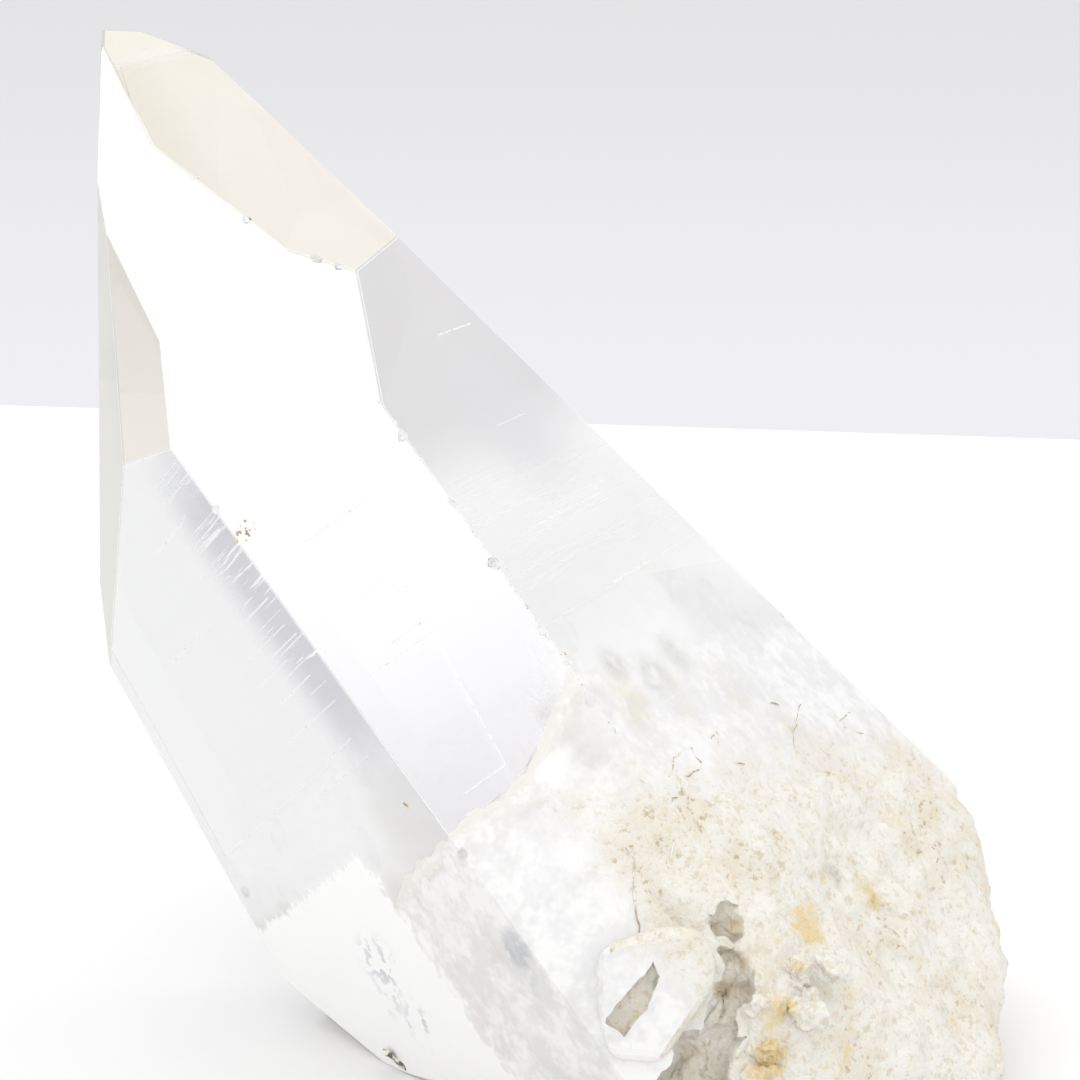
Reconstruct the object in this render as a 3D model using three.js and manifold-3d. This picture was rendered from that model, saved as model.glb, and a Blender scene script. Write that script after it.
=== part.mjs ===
// A natural clear quartz point: one leaning six-sided crystal that tapers to a sloping, chisel-like tip,
// grown together with a small side crystal and a lumpy, pitted milky root, on which it rests.
// Millimetres, +Z up. The origin is on the resting surface, under the middle of the bounding box.
// Seen from the front (along +Y), the tip leans to the left and a little to the back.

import * as THREE from "three";
import { mergeVertices } from "three/addons/utils/BufferGeometryUtils.js";
import { ImprovedNoise } from "three/addons/math/ImprovedNoise.js";
import Module from "manifold-3d";

const wasm = await Module();
wasm.setup();

const { degToRad } = THREE.MathUtils;
const UP = new THREE.Vector3(0, 0, 1);

// How the crystal stands. Its faces are measured from the centre, a point on the long axis.
const CENTRE = new THREE.Vector3(-12.5, 4, 41);
const AXIS_LEAN = 38.8;          // degrees from upright
const AXIS_HEADING = 157.7;      // degrees around +Z from +X: to the left, a little to the back
const FRONT_RISE = 15.3;         // degrees that the front of the crystal looks up

// A face lies `around` degrees about the long axis from the front, positive to the lower left, leans in by
// `lean` degrees towards the tip, and is `distance` from the centre.
const FACES = {
  front: { around: 0, lean: 7.5, distance: 24 },
  lowerLeft: { around: 60, lean: 3, distance: 18.5 },
  underside: { around: 120, lean: 8, distance: 29 },
  back: { around: 180, lean: 3, distance: 24 },
  upperBack: { around: -120, lean: 8, distance: 32.5 },
  upperRight: { around: -60, lean: 3, distance: 19.5 },
  // Narrow growth faces beside the prism faces.
  frontBand: { around: -12, lean: 6, distance: 24 },
  upperBand: { around: -86, lean: 10, distance: 25 },
  // The tip: one broad front slope in three steps, a slope on each side of it, and steep ones behind.
  tipFront: { around: -27, lean: 29.5, distance: 29.5 },
  tipFrontTop: { around: -30, lean: 40, distance: 36.5 },
  tipFrontFoot: { around: -42, lean: 18.5, distance: 25.5 },
  tipRight: { around: -55, lean: 26.5, distance: 28.5 },
  tipLeft: { around: 53, lean: 27, distance: 27 },
  tipLeftEdge: { around: 73, lean: 30, distance: 26 },
  tipUnderside: { around: 80, lean: 34.5, distance: 28.5 },
  tipBack: { around: -138, lean: 30.5, distance: 52.5 },
  tipBackTop: { around: 169, lean: 60.5, distance: 65.3 },
};
const BLOCK = 260;               // side of the block that the crystal is cut from

function directionFrom(azimuth, elevation) {
  const level = Math.cos(degToRad(elevation));
  const turn = degToRad(azimuth);
  return new THREE.Vector3(Math.cos(turn) * level, Math.sin(turn) * level, Math.sin(degToRad(elevation)));
}

const DOWN = directionFrom(0, -90);
const TIPWARD = directionFrom(AXIS_HEADING, 90 - AXIS_LEAN);
const FRONTWARD = directionFrom(-90, FRONT_RISE).projectOnPlane(TIPWARD).normalize();
const LEFTWARD = new THREE.Vector3().crossVectors(FRONTWARD, TIPWARD);

// A point from its distances to the front, to the left and towards the tip of the crystal's centre.
function crystalPoint(front, left, tip) {
  return CENTRE.clone()
    .addScaledVector(FRONTWARD, front)
    .addScaledVector(LEFTWARD, left)
    .addScaledVector(TIPWARD, tip);
}

function facePlane({ around, lean, distance }, proud = 0) {
  const turn = degToRad(around);
  const outward = FRONTWARD.clone().multiplyScalar(Math.cos(turn)).addScaledVector(LEFTWARD, Math.sin(turn));
  const normal = outward.multiplyScalar(Math.cos(degToRad(lean)));
  normal.addScaledVector(TIPWARD, Math.sin(degToRad(lean)));
  return { normal, point: CENTRE.clone().addScaledVector(normal, distance + proud) };
}

// Where three planes meet.
function meetingPoint(planes) {
  const rows = planes.flatMap(({ normal }) => normal.toArray());
  const reach = planes.map(({ normal, point }) => normal.dot(point));
  return new THREE.Vector3(...reach).applyMatrix3(new THREE.Matrix3().set(...rows).invert());
}

// The place on a face, or on the edge of two faces, at a height towards the tip.
function edgePlace(nameA, nameB, tip) {
  const level = { normal: TIPWARD, point: crystalPoint(0, 0, tip) };
  return meetingPoint([facePlane(FACES[nameA]), facePlane(FACES[nameB]), level]);
}

function facePlace(name, left, tip) {
  const level = { normal: TIPWARD, point: crystalPoint(0, 0, tip) };
  const upright = { normal: LEFTWARD, point: crystalPoint(0, left, 0) };
  return meetingPoint([facePlane(FACES[name]), level, upright]);
}

function solidFrom(geometry) {
  const bare = geometry.clone();
  bare.deleteAttribute("normal");
  bare.deleteAttribute("uv");
  const merged = mergeVertices(bare, 1e-4);
  const vertProperties = new Float32Array(merged.attributes.position.array);
  const triVerts = new Uint32Array(merged.index.array);
  return new wasm.Manifold(new wasm.Mesh({ numProp: 3, vertProperties, triVerts }));
}

function geometryFrom(solid) {
  const mesh = solid.getMesh();
  const geometry = new THREE.BufferGeometry();
  geometry.setAttribute("position", new THREE.BufferAttribute(new Float32Array(mesh.vertProperties), 3));
  geometry.setIndex(new THREE.BufferAttribute(new Uint32Array(mesh.triVerts), 1));
  return geometry;
}

// Takes away everything outside a plane.
function cutFlat(solid, { normal, point }) {
  const cutter = new THREE.BoxGeometry(BLOCK * 2, BLOCK * 2, BLOCK);
  cutter.translate(0, 0, BLOCK / 2);
  cutter.applyQuaternion(new THREE.Quaternion().setFromUnitVectors(UP, normal));
  cutter.translate(point.x, point.y, point.z);
  return solid.subtract(solidFrom(cutter));
}

// The broken-off end on the right, as flats that round it over. The crystal stops short of them.
const ROOT_END = [
  { normal: directionFrom(0, 0), point: new THREE.Vector3(43.4, 0, 0) },
  { normal: directionFrom(5, 38), point: new THREE.Vector3(43.5, 12, 22.5) },
  { normal: directionFrom(0, -28), point: new THREE.Vector3(41.5, 0, 3) },
  { normal: directionFrom(50, 5), point: new THREE.Vector3(33, 28, 10) },
  { normal: directionFrom(-48, 8), point: new THREE.Vector3(34, -28, 10) },
];
// Breaks along the lower edge, so that no thin wedge of crystal meets the resting surface.
const BASE_BREAKS = [
  { normal: directionFrom(-78, -27), point: new THREE.Vector3(16, -37.6, 0) },
  { normal: directionFrom(-131, -52), point: new THREE.Vector3(-1.5, -15.8, 0) },
  { normal: directionFrom(-153, -44), point: new THREE.Vector3(-19, 5, 0) },
  { normal: directionFrom(112, -33), point: new THREE.Vector3(-13, 18.2, 0) },
];
const ROOT_COVER = 2.5;          // how far the crystal stops inside the root's end

function mainCrystal() {
  let crystal = solidFrom(new THREE.BoxGeometry(BLOCK, BLOCK, BLOCK));
  for (const face of Object.values(FACES)) {
    crystal = cutFlat(crystal, facePlane(face));
  }
  for (const { normal, point } of ROOT_END) {
    crystal = cutFlat(crystal, { normal, point: point.clone().addScaledVector(normal, -ROOT_COVER) });
  }
  for (const flat of BASE_BREAKS) {
    crystal = cutFlat(crystal, flat);
  }
  return crystal;
}

// Growth lines: shallow grooves that run level across a face, at right angles to the long axis. Each has its
// height towards the tip, and its two ends, measured sideways along the face from the face's middle.
const GROWTH_LINES = {
  lowerLeft: [
    [17, 1, 9], [12.4, 6, 14], [9, -9, 4], [6.6, 8, 15], [5.1, 10, 16], [3.9, 5, 15], [2.6, 9, 16],
    [1.5, 3, 12], [0.4, 9, 16], [-0.9, 6, 14], [-2.2, 10, 16], [-4, 3, 15.5], [-7.4, 7, 14], [-12, 2, 13],
    [-18.5, 4, 15], [-27, -4, 9],
  ],
  front: [[8.5, -3, 3], [1.9, -4, 6], [0.3, 1, 8], [-3, -2, 7], [-4.2, -5, 9], [-10.5, 1, 9], [-17, -4, 4]],
  frontBand: [[3.1, -9, -6], [-3.4, -10, -6], [-13, -10, -5]],
  upperRight: [[19, 3, 10], [8.8, 1, 7], [-1.1, -8, 9], [-9, 0, 9], [-20.5, -7, 3]],
  underside: [[12, -12, 6], [5.6, -3, 14], [1.3, -14, 0], [-6, -9, 9], [-14, 2, 15], [-29, -12, 4]],
  back: [[38, -7, 3], [22, -12, 2], [14.7, 0, 13], [3.8, -9, 9], [-9.5, -13, 1], [-27, -4, 12]],
  upperBack: [[31, -8, 2], [17.5, -2, 9], [5.2, -9, 7], [-11.6, 0, 10]],
};
const GROOVE_DEPTHS = [0.22, 0.12, 0.16];
const GROOVE_SIZE = 3;           // radius of the three-sided bar that cuts a groove, in groove depths
const GROOVE_SPREAD = 2.2;       // the bar is flattened, so the groove is this many times as broad

function growthLine(face, tip, from, to, depth) {
  const { normal, point } = facePlane(face);
  const along = new THREE.Vector3().crossVectors(TIPWARD, normal).normalize();
  const inward = normal.clone().negate();
  const radius = GROOVE_SIZE * depth;
  const groove = new THREE.CylinderGeometry(radius, radius, to - from, 3);
  groove.scale(GROOVE_SPREAD, 1, 1);
  const upslope = new THREE.Vector3().crossVectors(along, inward);
  const level = { normal: TIPWARD, point: crystalPoint(0, 0, tip) };
  const upright = { normal: along, point: point.clone().addScaledVector(along, (from + to) / 2) };
  const middle = meetingPoint([{ normal, point }, level, upright]).addScaledVector(normal, radius - depth);
  groove.applyMatrix4(new THREE.Matrix4().makeBasis(upslope, along, inward).setPosition(middle));
  return solidFrom(groove);
}

function growthLines() {
  const grooves = Object.entries(GROWTH_LINES).flatMap(([name, lines]) => {
    return lines.map(([tip, from, to], i) => {
      return growthLine(FACES[name], tip, from, to, GROOVE_DEPTHS[i % GROOVE_DEPTHS.length]);
    });
  });
  return grooves.reduce((all, groove) => all.add(groove));
}

// The root follows the crystal's faces, stands a little proud of them, and is rounded over and lumpy.
const ROOT_CENTRE = crystalPoint(1, -10, -44);
const ROOT_PROUD = 1;
const ROOT_ROUNDING = 14;        // the higher, the squarer its corners
const ROOT_FACES = ["front", "frontBand", "upperRight", "upperBand", "upperBack", "back"];
const ROOT_TOP = TIPWARD.clone().multiplyScalar(0.89).addScaledVector(LEFTWARD, -0.45).normalize();
const ROOT_PLANES = [
  ...ROOT_FACES.map((name) => facePlane(FACES[name], ROOT_PROUD)),
  ...ROOT_END,
  { normal: ROOT_TOP, point: crystalPoint(0, -20, -33) },
  { normal: LEFTWARD, point: crystalPoint(0, -3, 0) },
  { normal: DOWN, point: new THREE.Vector3(0, 0, -8) },
];
const BROAD_LUMPS = { size: 9, height: 1.5, seed: 3.1 };
const SMALL_LUMPS = { size: 3.6, height: 0.9, seed: 8.4 };
const noise = new ImprovedNoise();

function lumpiness({ x, y, z }, { size, height, seed }) {
  return height * noise.noise(x / size + seed, y / size + seed * 1.7, z / size + seed * 2.3);
}

// The point of the root's surface that lies in a direction from its centre.
function rootPoint(direction) {
  let sum = 0;
  for (const { normal, point } of ROOT_PLANES) {
    const nearness = normal.dot(direction) / normal.dot(point.clone().sub(ROOT_CENTRE));
    sum += Math.max(nearness, 0) ** ROOT_ROUNDING;
  }
  const smooth = ROOT_CENTRE.clone().addScaledVector(direction, sum ** (-1 / ROOT_ROUNDING));
  const lump = lumpiness(smooth, BROAD_LUMPS) + lumpiness(smooth, SMALL_LUMPS);
  return smooth.addScaledVector(direction, lump);
}

const ROOT_FINENESS = 16;

function root() {
  const geometry = new THREE.IcosahedronGeometry(1, ROOT_FINENESS);
  const position = geometry.attributes.position;
  const direction = new THREE.Vector3();
  for (let i = 0; i < position.count; i += 1) {
    direction.fromBufferAttribute(position, i).normalize();
    position.setXYZ(i, ...rootPoint(direction));
  }
  return solidFrom(geometry);
}

function ball(place, radii, fineness) {
  const geometry = new THREE.IcosahedronGeometry(1, fineness);
  geometry.scale(...radii);
  geometry.rotateX(place.x).rotateZ(place.z);      // turned differently at every place
  geometry.translate(place.x, place.y, place.z);
  return solidFrom(geometry);
}

// Small pits all over the root, spread evenly by the golden angle.
const PIT_COUNT = 60;
const PIT_WIDTHS = [0.6, 1.02, 0.77, 1.1, 0.85, 0.68, 0.94];
const PIT_STRETCH = 1.5;         // a pit is longer than it is wide
const GOLDEN_ANGLE = Math.PI * (3 - Math.sqrt(5));

function rootPits() {
  const pits = [];
  for (let i = 0; i < PIT_COUNT; i += 1) {
    const height = 1 - (2 * i + 1) / PIT_COUNT;
    const level = Math.sqrt(1 - height * height);
    const turn = i * GOLDEN_ANGLE;
    const direction = new THREE.Vector3(Math.cos(turn) * level, Math.sin(turn) * level, height);
    const width = PIT_WIDTHS[i % PIT_WIDTHS.length];
    pits.push(ball(rootPoint(direction), [width, width * PIT_STRETCH, width], 1));
  }
  return pits.reduce((all, pit) => all.add(pit));
}

// Rounded, uneven knobs on the front of the root, beside the crevice: left, tipward, radius.
const KNOBS = [
  [-7.8, -43.7, 1.5],
  [-6.3, -46, 1.9],
  [-4.5, -48.4, 2],
  [-9.9, -45.2, 1.7],
  [-8.8, -48.2, 2.4],
  [-12.7, -46.8, 1.8],
  [-2.6, -51, 2.3],
];
const KNOB_UNEVENNESS = { size: 1.5, height: 1.3, seed: 5.2 };

function knob([left, tip, radius]) {
  const middle = facePlace("frontBand", left, tip);
  const geometry = new THREE.IcosahedronGeometry(radius, 3);
  const position = geometry.attributes.position;
  const place = new THREE.Vector3();
  for (let i = 0; i < position.count; i += 1) {
    place.fromBufferAttribute(position, i);
    const stretch = 1 + lumpiness(place.clone().add(middle), KNOB_UNEVENNESS) / radius;
    place.multiplyScalar(stretch).add(middle);
    position.setXYZ(i, ...place);
  }
  return solidFrom(geometry);
}

function knobs() {
  return KNOBS.map(knob).reduce((all, next) => all.add(next));
}

// A block by its outline seen from the front of the crystal, as distances to the left and towards the tip.
// Its front is `top` in front of the centre, and it reaches `depth` back from there.
function frontBlock(outline, top, depth, bevel) {
  const shape = new THREE.Shape(outline.map(([left, tip]) => new THREE.Vector2(left, tip)));
  const bevelSize = { bevelThickness: bevel, bevelSize: bevel, bevelOffset: -bevel, bevelSegments: 1 };
  const geometry = new THREE.ExtrudeGeometry(shape, { depth, ...bevelSize });
  const backward = FRONTWARD.clone().negate();
  const placed = new THREE.Matrix4().makeBasis(LEFTWARD, TIPWARD, backward);
  return solidFrom(geometry.applyMatrix4(placed.setPosition(crystalPoint(top - bevel, 0, 0))));
}

// The small side crystal, over the right of the front face beside the root, and the slot in its top.
const SIDE_CRYSTAL = {
  outline: [
    [2.4, -33.9], [5.2, -37.8], [6.7, -41.8], [3.5, -44.6],
    [-4, -41.9], [-5.6, -39.6], [-5.4, -37.2], [-2.9, -35.4],
  ],
  top: 31,
  depth: 14,
  bevel: 0.7,
};
const SLOT = {
  outline: [[-0.8, -37.3], [-0.6, -39.1], [4.7, -40.8], [5.1, -39]],
  depth: 2.6,
  bevel: 0.3,
};

function sideCrystal() {
  const { outline, top, depth, bevel } = SIDE_CRYSTAL;
  return frontBlock(outline, top, depth, bevel);
}

function slot() {
  const { outline, depth, bevel } = SLOT;
  return frontBlock(outline, SIDE_CRYSTAL.top + depth, 2 * depth, bevel);
}

// The dark crevice between the side crystal and the root, widening downwards, and a hollow above it.
const CREVICE = {
  outline: [
    [-6.6, -39.7], [-7.6, -41.5], [-5.7, -44.1], [-3.4, -46], [0, -49.5],
    [6, -48], [3.9, -45.1], [-2, -43.2], [-4.4, -42.1], [-6, -40],
  ],
  top: 40,
  depth: 15,
  bevel: 0.2,
};
const HOLLOW = { left: -7.6, tip: -38.4, radii: [1.5, 1.2, 2.3] };

function crevice() {
  const { outline, top, depth, bevel } = CREVICE;
  const hollow = ball(facePlace("frontBand", HOLLOW.left, HOLLOW.tip), HOLLOW.radii, 2);
  return frontBlock(outline, top, depth, bevel).add(hollow);
}

// Chips along the sharp edges: the two faces of the edge, the height towards the tip, and the radius.
const CHIPS = [
  ["frontBand", "upperRight", 11.5, 0.9],
  ["frontBand", "upperRight", 4.2, 0.7],
  ["frontBand", "upperRight", -2.4, 1.1],
  ["frontBand", "upperRight", -9.5, 0.8],
  ["frontBand", "upperRight", -16.5, 1.2],
  ["tipFront", "tipRight", 44, 0.6],
  ["tipFront", "tipRight", 37.5, 0.8],
  ["tipFrontFoot", "tipRight", 30.5, 1],
  ["tipFrontFoot", "tipRight", 28.8, 0.8],
  ["lowerLeft", "front", -21, 1],
  ["lowerLeft", "front", 15.5, 0.7],
  ["upperRight", "upperBand", -20, 0.8],
  ["underside", "back", -12, 1.2],
  ["back", "upperBack", 8, 1],
];
const CHIP_STRETCH = 1.6;        // a chip is longer than it is wide

function chips() {
  const cutters = CHIPS.map(([faceA, faceB, tip, radius]) => {
    return ball(edgePlace(faceA, faceB, tip), [radius, radius * CHIP_STRETCH, radius], 0);
  });
  return cutters.reduce((all, cutter) => all.add(cutter));
}

function quartzPoint() {
  const crystal = mainCrystal().subtract(growthLines()).subtract(chips());
  const rough = root().add(knobs()).subtract(rootPits());
  const whole = crystal.add(rough).subtract(crevice()).add(sideCrystal()).subtract(slot());
  return cutFlat(whole, { normal: DOWN, point: new THREE.Vector3(0, 0, 0) });
}

function quartzMaterial() {
  return new THREE.MeshStandardMaterial({ color: 0xeeedf0, roughness: 0.12, metalness: 0 });
}

// Sets a shape's resting face at height zero, with the middle of its bounding box over the origin.
function standAtOrigin(geometry) {
  geometry.computeBoundingBox();
  const middle = geometry.boundingBox.getCenter(new THREE.Vector3());
  return geometry.translate(-middle.x, -middle.y, -geometry.boundingBox.min.z);
}

const quartz = new THREE.Mesh(standAtOrigin(geometryFrom(quartzPoint())), quartzMaterial());
quartz.name = "quartz_point";

const model = new THREE.Group();
model.add(quartz);

export default model;
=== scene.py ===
"""A natural quartz point: a leaning, six-sided clear crystal with a sloping tip, a small side crystal fused
to its front, and a lumpy, milky, iron-stained root. Metres, +Z up, standing on the ground at the origin.

The file is laid out as an add-on: each piece has its own operator, listed in a panel of the 3D view's
sidebar.
"""

import math
import random
from contextlib import contextmanager

import bpy
from mathutils import Matrix, Vector, noise
from mathutils.bvhtree import BVHTree


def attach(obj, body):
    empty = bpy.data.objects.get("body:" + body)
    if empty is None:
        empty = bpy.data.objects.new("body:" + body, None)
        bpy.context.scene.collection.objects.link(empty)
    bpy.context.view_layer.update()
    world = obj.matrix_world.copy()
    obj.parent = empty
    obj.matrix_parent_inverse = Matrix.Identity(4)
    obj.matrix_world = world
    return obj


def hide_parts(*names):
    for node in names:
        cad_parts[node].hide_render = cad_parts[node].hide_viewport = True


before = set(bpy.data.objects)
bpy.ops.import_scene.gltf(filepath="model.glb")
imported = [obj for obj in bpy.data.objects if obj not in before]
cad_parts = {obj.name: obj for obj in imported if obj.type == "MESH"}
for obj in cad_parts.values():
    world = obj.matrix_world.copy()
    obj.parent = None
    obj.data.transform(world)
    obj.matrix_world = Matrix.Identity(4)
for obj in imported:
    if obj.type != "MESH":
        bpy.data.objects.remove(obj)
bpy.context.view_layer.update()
noise.seed_set(3)         # without a seed, the uneven shapes would change from run to run

bl_info = {
    "name": "Natural quartz point",
    "version": (1, 0, 0),
    "blender": (4, 5, 0),
    "location": "3D View > Sidebar > Quartz",
    "description": "Builds a natural quartz point with its root, its inclusions and a soft white studio",
    "category": "Object",
}

MM = 0.001

# How the crystal stands. Its faces are measured from the centre, a point on the long axis.
CENTRE = Vector((-12.003, 3.439, 41.0)) * MM
AXIS_LEAN = 38.8          # degrees from upright
AXIS_HEADING = 157.7      # degrees around +Z from +X: to the left, a little to the back
FRONT_RISE = 15.3         # degrees that the front of the crystal looks up

# A face lies `around` degrees about the long axis from the front, positive to the lower left, leans in by
# `lean` degrees towards the tip, and is `distance` millimetres from the centre.
FACES = {
    "front": (0, 7.5, 24),
    "lower_left": (60, 3, 18.5),
    "underside": (120, 8, 29),
    "back": (180, 3, 24),
    "upper_back": (-120, 8, 32.5),
    "upper_right": (-60, 3, 19.5),
    "front_band": (-12, 6, 24),
    "upper_band": (-86, 10, 25),
    "tip_front": (-27, 29.5, 29.5),
    "tip_front_top": (-30, 40, 36.5),
    "tip_front_foot": (-42, 18.5, 25.5),
    "tip_right": (-55, 26.5, 28.5),
    "tip_left": (53, 27, 27),
    "tip_left_edge": (73, 30, 26),
    "tip_underside": (80, 34.5, 28.5),
    "tip_back": (-138, 30.5, 52.5),
    "tip_back_top": (169, 60.5, 65.3),
}


def direction_from(azimuth, elevation):
    """The direction at an azimuth around +Z from +X and an elevation above the ground, in degrees."""
    level = math.cos(math.radians(elevation))
    turn = math.radians(azimuth)
    return Vector((math.cos(turn) * level, math.sin(turn) * level, math.sin(math.radians(elevation))))


DOWN = Vector((0, 0, -1))
TIPWARD = direction_from(AXIS_HEADING, 90 - AXIS_LEAN)
FRONT_AIM = direction_from(-90, FRONT_RISE)
FRONTWARD = (FRONT_AIM - TIPWARD * FRONT_AIM.dot(TIPWARD)).normalized()
LEFTWARD = FRONTWARD.cross(TIPWARD)


def crystal_point(front, left, tip):
    """A point from its distances in millimetres to the front, to the left and towards the tip."""
    return CENTRE + (FRONTWARD * front + LEFTWARD * left + TIPWARD * tip) * MM


def face_plane(name, proud=0.0):
    """The outward normal of a face, and a point on it or `proud` millimetres outside it."""
    around, lean, distance = FACES[name]
    turn = math.radians(around)
    outward = FRONTWARD * math.cos(turn) + LEFTWARD * math.sin(turn)
    normal = outward * math.cos(math.radians(lean)) + TIPWARD * math.sin(math.radians(lean))
    return normal, CENTRE + normal * (distance + proud) * MM


def meeting_point(planes):
    """Where three planes meet."""
    rows = Matrix([normal for normal, point in planes])
    return rows.inverted() @ Vector([normal.dot(point) for normal, point in planes])


def level_at(tip):
    """The plane straight across the crystal at a height towards the tip."""
    return TIPWARD, crystal_point(0, 0, tip)


def edge_place(name_a, name_b, tip):
    """The place on the edge of two faces at a height towards the tip."""
    return meeting_point([face_plane(name_a), face_plane(name_b), level_at(tip)])


def face_place(name, left, tip, proud=0.0):
    """The place on a face at a distance to the left and a height towards the tip."""
    upright = (LEFTWARD, crystal_point(0, left, 0))
    return meeting_point([face_plane(name, proud), level_at(tip), upright])


# The broken-off end on the right, as flats that round it over, and the breaks along the lower edge.
ROOT_END = [
    (direction_from(0, 0), Vector((43.897, -0.561, 0)) * MM),
    (direction_from(5, 38), Vector((43.997, 11.439, 22.5)) * MM),
    (direction_from(0, -28), Vector((41.997, -0.561, 3)) * MM),
    (direction_from(50, 5), Vector((33.497, 27.439, 10)) * MM),
    (direction_from(-48, 8), Vector((34.497, -28.561, 10)) * MM),
]
BASE_BREAKS = [
    (direction_from(-78, -27), Vector((16.497, -38.161, 0)) * MM),
    (direction_from(-131, -52), Vector((-1.003, -16.361, 0)) * MM),
    (direction_from(-153, -44), Vector((-18.503, 4.439, 0)) * MM),
    (direction_from(112, -33), Vector((-12.503, 17.639, 0)) * MM),
]
ROOT_COVER = 2.5 * MM     # how far the crystal stops inside the root's end

ROOT_CENTRE = crystal_point(1, -10, -44)
ROOT_PROUD = 1.0          # how far the root stands out from the crystal's faces
ROOT_ROUNDING = 14        # the higher, the squarer the root's corners
TOP_SLOPE = (0.89, 0.45)  # the root's sloping top aims this much towards the tip, and this much to the right
TOP_DEPTH = 20.4          # how far that top lies below the centre, along its aim
ROOT_TOP = (TIPWARD * TOP_SLOPE[0] - LEFTWARD * TOP_SLOPE[1]).normalized()
BLOCK_SIZE = 0.26         # metres: the block that the crystal is cut from
ROUNDED_ABOVE = 56        # the crystal's edges are rounded above this height towards the tip
CLOUD_TOP = (TIPWARD * 0.943 - LEFTWARD * 0.333).normalized()
CLOUD_START = crystal_point(0, 0, -2.7)    # clouds start below the sloping plane through this point
ROOT_FACES = ["front", "front_band", "upper_right", "upper_band", "upper_back", "back"]

# Outlines as seen from the front of the crystal, as distances to the left and towards the tip.
SIDE_CRYSTAL = [
    (2.4, -33.9), (5.2, -37.8), (6.7, -41.8), (3.5, -44.6),
    (-4, -41.9), (-5.6, -39.6), (-5.4, -37.2), (-2.9, -35.4),
]
SIDE_CRYSTAL_TOP = 31
SIDE_CRYSTAL_DEPTH = 14
SLOT = [(-0.8, -37.5), (-0.7, -38.9), (1.6, -39.9), (4.6, -40.8), (5.2, -39.2), (2.4, -38.1)]
SLOT_DEPTH = 1.1
CREVICE = [
    (-6.6, -39.7), (-7.6, -41.5), (-5.7, -44.1), (-3.4, -46), (0, -49.5),
    (6, -48), (3.9, -45.1), (-2, -43.2), (-4.4, -42.1), (-6, -40),
]
CREVICE_TOP = 40
CREVICE_DEPTH = 13
HOLLOW = (-7.6, -38.4)
KNOBS = [
    (-7.8, -43.7, 1.5), (-6.3, -46, 1.9), (-4.5, -48.4, 2), (-9.9, -45.2, 1.7),
    (-8.8, -48.2, 2.4), (-12.7, -46.8, 1.8), (-2.6, -51, 2.3),
]

# Growth lines: shallow grooves level across a face, as height towards the tip and both ends sideways.
GROWTH_LINES = {
    "lower_left": [
        (17, 1, 9), (12.4, 6, 14), (9, -9, 4), (6.6, 8, 15), (5.1, 10, 16), (3.9, 5, 15), (2.6, 9, 16),
        (1.5, 3, 12), (0.4, 9, 16), (-0.9, 6, 14), (-2.2, 10, 16), (-4, 3, 15.5), (-7.4, 7, 14),
        (-9.5, 3, 15),
    ],
    "front": [
        (8.5, -3, 3), (1.9, -4, 6), (0.3, 1, 8), (-3, -2, 7), (-4.2, -5, 9), (-10.5, 1, 9), (-17, -4, 4),
    ],
    "front_band": [(3.1, -9, -6), (-3.4, -10, -6), (-13, -10, -5)],
    "upper_right": [(19, 3, 10), (8.8, 1, 7), (-1.1, -8, 9), (-9, 0, 9), (-20.5, -7, 3)],
}
GROOVE_DEPTHS = (0.05, 0.025, 0.035)
GROOVE_SIZE = 3           # radius of the three-sided bar that cuts a groove, in groove depths
GROOVE_SPREAD = 2.6       # the bar is flattened, so the groove is this many times as broad

# Chips along the sharp edges: the two faces of the edge, the height towards the tip, and the radius.
CHIPS = [
    ("front_band", "upper_right", 11.5, 0.54),
    ("front_band", "upper_right", 4.2, 0.42),
    ("front_band", "upper_right", -2.4, 0.66),
    ("front_band", "upper_right", -9.5, 0.48),
    ("front_band", "upper_right", -16.5, 0.72),
    ("tip_front", "tip_right", 44, 0.36),
    ("tip_front", "tip_right", 37.5, 0.48),
    ("tip_front_foot", "tip_right", 30.5, 0.6),
    ("tip_front_foot", "tip_right", 28.8, 0.48),
    ("lower_left", "front", -21, 0.6),
    ("lower_left", "front", 15.5, 0.42),
    ("upper_right", "upper_band", -20, 0.48),
    ("underside", "back", -12, 0.72),
    ("back", "upper_back", 8, 0.6),
]
CHIP_STRETCH = 1.6

# Iron stains on the root: front, left, tip, radius and strength, the first few seen in front.
STAINS = [
    (11.8, -19.8, -45.0, 2.4, 0.9), (21.9, -13.3, -43.3, 4.2, 0.9), (29.3, -10.7, -44.6, 2.8, 1.0),
    (26.1, -8.4, -39.0, 2.0, 1.0), (16.3, -17.0, -40.8, 1.6, 0.6), (30.7, -3.7, -49.6, 3.4, 1.0),
    (29.2, -7.4, -47.0, 2.6, 0.8), (-3.9, -28.0, -40.8, 6.5, 0.22), (-9.5, -31.5, -43.4, 4.5, 0.3),
    (25.7, -10.9, -51.9, 5.5, 0.3), (20.0, -14.0, -33.0, 4.0, 0.2), (-20.0, -24.0, -44.0, 5.0, 0.5),
]

# Hollows with painted shade and dirt, the same way: the crevice, the hollow above it and the slot.
SHADED = [
    (26.2, -7.0, -41.2, 3.0, 0.9), (26.6, -4.2, -44.6, 3.4, 0.8), (27.0, 1.0, -47.0, 3.4, 0.6),
    (25.3, -7.6, -38.4, 2.4, 0.8),
    (28.0, 3.2, -40.2, 2.4, 0.4),
]

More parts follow.
